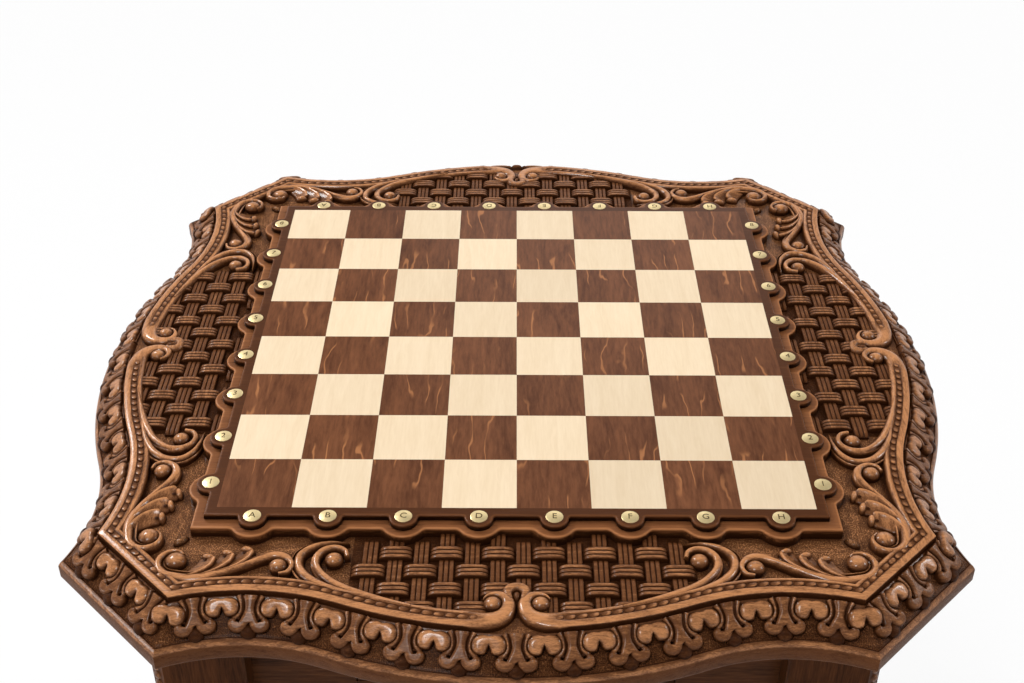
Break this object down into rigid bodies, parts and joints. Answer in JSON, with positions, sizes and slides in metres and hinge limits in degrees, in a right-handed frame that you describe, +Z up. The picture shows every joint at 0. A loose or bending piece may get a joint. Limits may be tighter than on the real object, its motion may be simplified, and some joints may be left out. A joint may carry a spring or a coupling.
{
  "type": "chess table",
  "caption": "Square chess table with a carved serpentine top, raised inlaid board with brass coordinate discs, cabriole legs and a drawer for each player.",
  "frame": {"origin": "on the floor, under the middle of the board", "axes": "+Z up, -Y towards the player whose side the picture is taken from, +X to that player's right"},
  "size_m": [0.6518, 0.6518, 0.7508],
  "materials": {
    "carved_wood": "stained, glazed and satin lacquered",
    "base_wood": "stained, satin lacquered",
    "plinth_wood": "stained, satin lacquered",
    "board_frame_wood": "stained, semi-gloss lacquered",
    "dark_inlay": "veneer, semi-gloss lacquered",
    "light_inlay": "veneer, semi-gloss lacquered",
    "inner_wood": "clear matt",
    "brass": "polished, engraved",
    "screw_steel": "zinc plated",
    "felt": "pressed felt"
  },
  "bodies": {
    "table": {"border_front": "carved_wood", "border_right": "carved_wood", "border_back": "carved_wood", "border_left": "carved_wood", "mitre_tongues": "inner_wood", "core_panel": "inner_wood", "board_plinth": "plinth_wood", "board_panel": "board_frame_wood", "dark_squares": "dark_inlay", "light_squares": "light_inlay", "coordinate_discs": "brass", "leg_back_right": "base_wood", "leg_back_left": "base_wood", "leg_front_left": "base_wood", "leg_front_right": "base_wood", "apron_front": "base_wood", "apron_right": "base_wood", "apron_back": "base_wood", "apron_left": "base_wood", "corner_blocks": "inner_wood", "top_screws": "screw_steel", "foot_glides": "felt", "drawer_runner_right": "inner_wood", "drawer_runner_left": "inner_wood", "drawer_kicker_right": "inner_wood", "drawer_kicker_left": "inner_wood", "drawer_divider": "inner_wood"},
    "front_drawer": {"front_drawer_front": "base_wood", "front_drawer_right_side": "inner_wood", "front_drawer_left_side": "inner_wood", "front_drawer_back": "inner_wood", "front_drawer_bottom": "inner_wood", "front_drawer_knob": "base_wood"},
    "back_drawer": {"back_drawer_front": "base_wood", "back_drawer_right_side": "inner_wood", "back_drawer_left_side": "inner_wood", "back_drawer_back": "inner_wood", "back_drawer_bottom": "inner_wood", "back_drawer_knob": "base_wood"}
  },
  "joints": [
    {"name": "front_drawer_slide", "type": "slide", "parent": "table", "child": "front_drawer", "axis": [0, -1, 0], "range_m": [0, 0.15]},
    {"name": "back_drawer_slide", "type": "slide", "parent": "table", "child": "back_drawer", "axis": [0, 1, 0], "range_m": [0, 0.15]}
  ]
}
